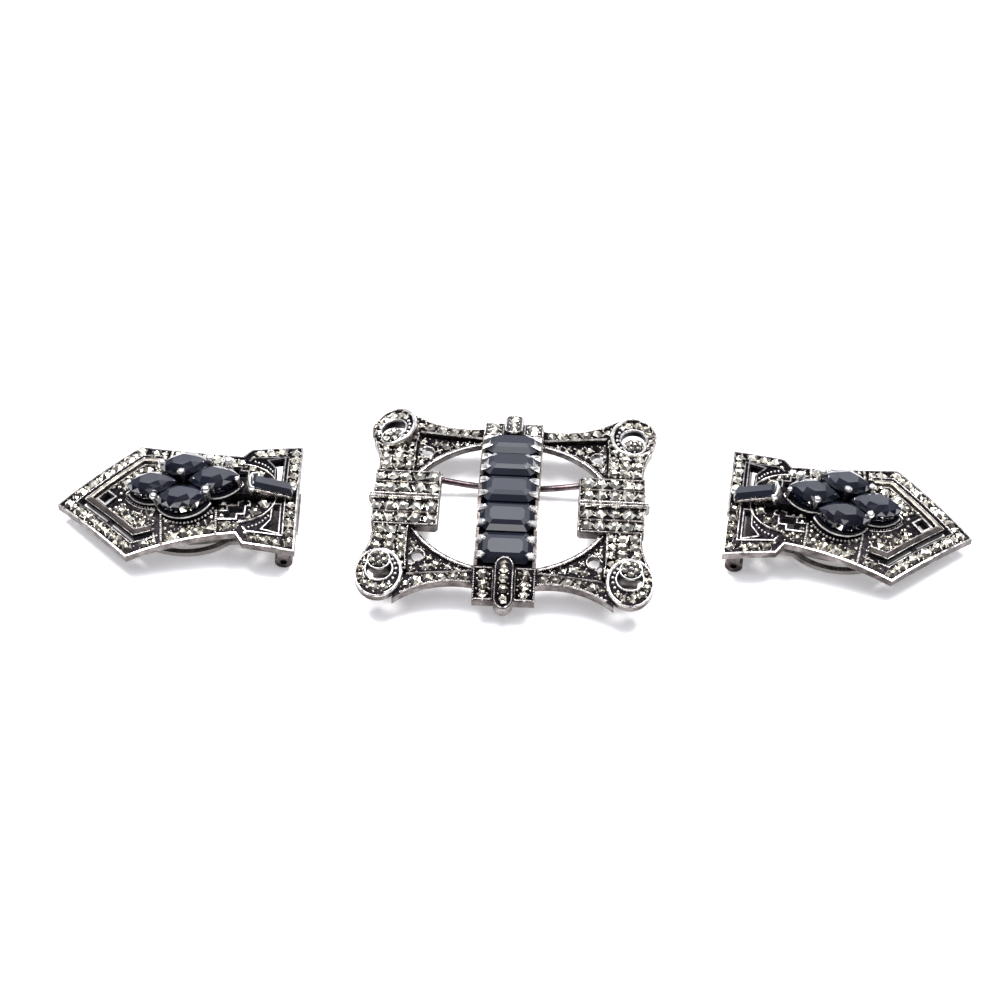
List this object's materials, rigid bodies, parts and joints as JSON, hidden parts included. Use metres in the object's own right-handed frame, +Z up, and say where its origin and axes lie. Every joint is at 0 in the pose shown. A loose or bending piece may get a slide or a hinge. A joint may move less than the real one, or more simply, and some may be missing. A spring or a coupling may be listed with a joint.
{
  "type": "double clip brooch",
  "caption": "Double clip brooch: a buckle-shaped pin brooch with step-cut black stones and its two arrow-shaped dress clips, taken apart and laid side by side.",
  "frame": {"origin": "centre of the bounding box's bottom face, on the surface that the three pieces lie on", "axes": "+X along the row from the left clip to the right clip, +Y away from the viewer of the picture, +Z up"},
  "size_m": [0.1182, 0.0326, 0.0098],
  "materials": {
    "silver": "cast silver, darkened in the recesses and polished on the edges",
    "darkened_silver": "plain silver, dulled by age",
    "black_onyx": "polished, faceted"
  },
  "bodies": {
    "brooch": {"brooch_frame": "silver", "octagon_stone_1": "black_onyx", "octagon_stone_2": "black_onyx", "octagon_stone_3": "black_onyx", "octagon_stone_4": "black_onyx", "octagon_stone_5": "black_onyx", "pin_rivet": "darkened_silver"},
    "brooch_pin": {"pin_stem": "darkened_silver"},
    "right_clip": {"right_clip_plate": "silver", "right_marquise_tip": "black_onyx", "right_marquise_inner": "black_onyx", "right_marquise_near": "black_onyx", "right_marquise_far": "black_onyx", "right_baguette": "black_onyx", "right_hinge_pin": "darkened_silver"},
    "right_clip_lever": {"right_lever": "darkened_silver"},
    "left_clip": {"left_clip_plate": "silver", "left_marquise_tip": "black_onyx", "left_marquise_inner": "black_onyx", "left_marquise_near": "black_onyx", "left_marquise_far": "black_onyx", "left_baguette": "black_onyx", "left_hinge_pin": "darkened_silver"},
    "left_clip_lever": {"left_lever": "darkened_silver"}
  },
  "joints": [
    {"name": "pin_hinge", "type": "hinge", "parent": "brooch", "child": "brooch_pin", "pos_m": [-0.01505, 0.0056, 0.00235], "axis": [0, 1, 0], "range_deg": [0, 80]},
    {"name": "right_clip_lift", "type": "slide", "parent": "brooch", "child": "right_clip", "axis": [0, 0, 1], "range_m": [0, 0.03]},
    {"name": "left_clip_lift", "type": "slide", "parent": "brooch", "child": "left_clip", "axis": [0, 0, 1], "range_m": [0, 0.03]},
    {"name": "right_lever_hinge", "type": "hinge", "parent": "right_clip", "child": "right_clip_lever", "pos_m": [0.02936, 0.00196, 0.0013], "axis": [0.0958, 0.9954, 0], "range_deg": [0, 60]},
    {"name": "left_lever_hinge", "type": "hinge", "parent": "left_clip", "child": "left_clip_lever", "pos_m": [-0.02921, -0.00053, 0.0013], "axis": [0.0401, -0.9992, 0], "range_deg": [0, 60]}
  ]
}
